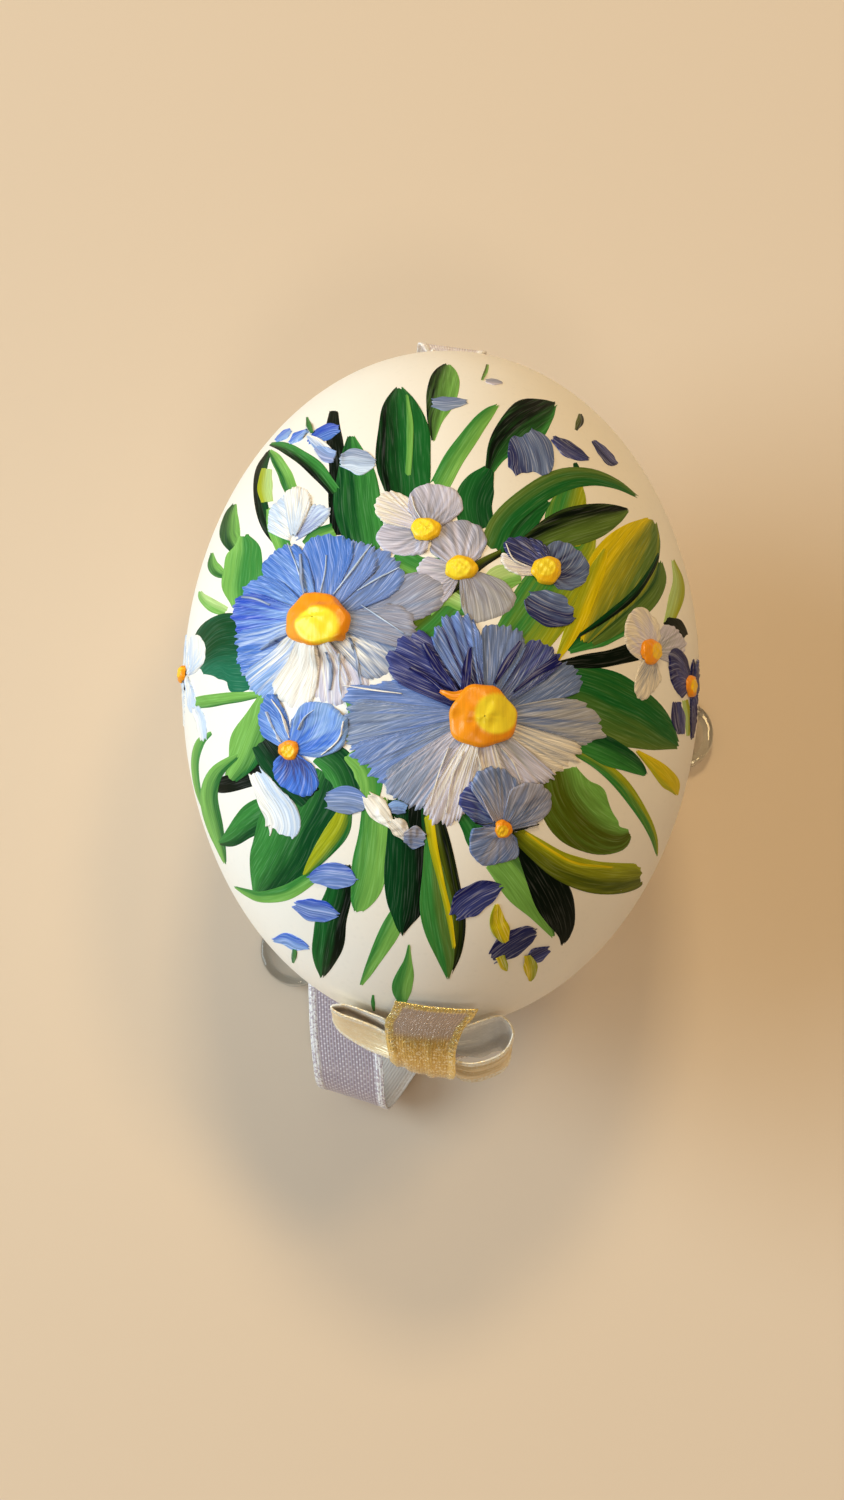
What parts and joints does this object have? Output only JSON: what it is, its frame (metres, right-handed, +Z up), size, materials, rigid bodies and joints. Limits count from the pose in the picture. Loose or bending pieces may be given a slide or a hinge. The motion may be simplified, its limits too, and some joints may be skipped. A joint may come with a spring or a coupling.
{
  "type": "easter egg ornament",
  "caption": "Blown egg ornament painted with a spray of flowers, lying on a small clear stand, with a ribbon bow and hanging loop at its pointed end.",
  "frame": {"origin": "on the table, under the middle of the ornament's bounding box measured without the hanging ribbon", "axes": "+Z up; +Y along the egg, from its pointed end with the bow towards its blunt end; +X to the right as seen from the bow"},
  "size_m": [0.0484, 0.0672, 0.0482],
  "materials": {
    "eggshell": "satin",
    "clear_plastic": "gloss",
    "satin_ribbon": "satin"
  },
  "bodies": {
    "root": {"egg": "eggshell", "stand": "clear_plastic", "bow": "satin_ribbon", "hanging_ribbon": "satin_ribbon", "end_knot": "satin_ribbon"}
  },
  "joints": []
}
